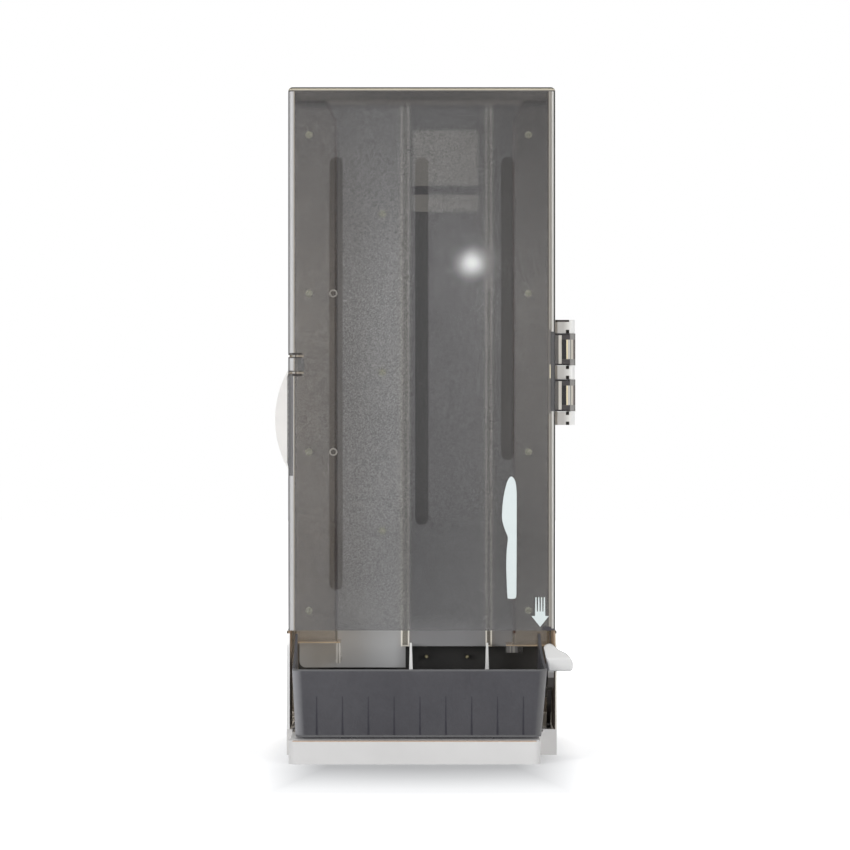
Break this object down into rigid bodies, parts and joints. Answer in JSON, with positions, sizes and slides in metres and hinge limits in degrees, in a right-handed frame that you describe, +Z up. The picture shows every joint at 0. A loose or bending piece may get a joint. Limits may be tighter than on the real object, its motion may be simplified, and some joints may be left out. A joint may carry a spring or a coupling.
{
  "type": "cutlery dispenser",
  "caption": "Tall counter or wall cutlery dispenser with a hinged smoke door, a push lever that kicks out one knife at a time and a slide-out pick-up tray.",
  "frame": {"origin": "on the table, on the flat underside of the base, under the middle of the 254 mm wide and 222.25 mm deep body", "axes": "+Z up, +Y towards the wall behind the tower, so that the door faces -Y, and +X to the right as a user sees it"},
  "size_m": [0.294, 0.2222, 0.6287],
  "materials": {
    "base_plastic": "light grey moulded plastic, satin",
    "white_plastic": "white moulded plastic, satin",
    "door_smoke": "smoke translucent plastic, frosted with clear windows",
    "brown_smoke": "brown smoke translucent plastic",
    "tray_smoke": "dark smoke translucent plastic, frosted",
    "grey_plastic": "grey moulded plastic, satin",
    "clear_plastic": "clear moulded plastic",
    "black_plastic": "black moulded plastic",
    "label_paper": "bare cream sticker",
    "steel": "bright steel",
    "foot_rubber": "black rubber"
  },
  "bodies": {
    "tower": {"base": "base_plastic", "foot_pads": "foot_rubber", "housing": "brown_smoke", "back_plate": "white_plastic", "hinge_bracket": "white_plastic", "hinge_pin": "steel", "hinge_screws": "steel", "left_guide": "brown_smoke", "right_guide": "brown_smoke", "guide_screws": "steel", "chute_back": "grey_plastic", "back_screws": "steel", "left_rib": "clear_plastic", "right_rib": "clear_plastic", "instruction_label": "label_paper", "latch_keeper": "white_plastic", "mechanism_frame": "black_plastic", "frame_studs": "steel", "shaft_bushings": "black_plastic", "return_spring": "steel"},
    "door": {"door": "door_smoke"},
    "lever": {"lever": "white_plastic", "shaft": "steel", "left_finger": "white_plastic", "right_finger": "white_plastic", "set_pins": "steel"},
    "tray": {"tray": "tray_smoke"}
  },
  "joints": [
    {"name": "door_hinge", "type": "hinge", "parent": "tower", "child": "door", "pos_m": [0.1412, 0.00997, 0.3607], "axis": [0, 0, 1], "range_deg": [0, 115]},
    {"name": "lever_press", "type": "hinge", "parent": "tower", "child": "lever", "pos_m": [0.1202, 0.00797, 0.058], "axis": [1, 0, 0], "range_deg": [0, 25], "stiffness_Nm_per_rad": 0.4, "springref_deg": -34.38, "deforming": ["return_spring"]},
    {"name": "tray_slide", "type": "slide", "parent": "tower", "child": "tray", "axis": [0, -1, 0], "range_m": [0, 0.065]}
  ]
}
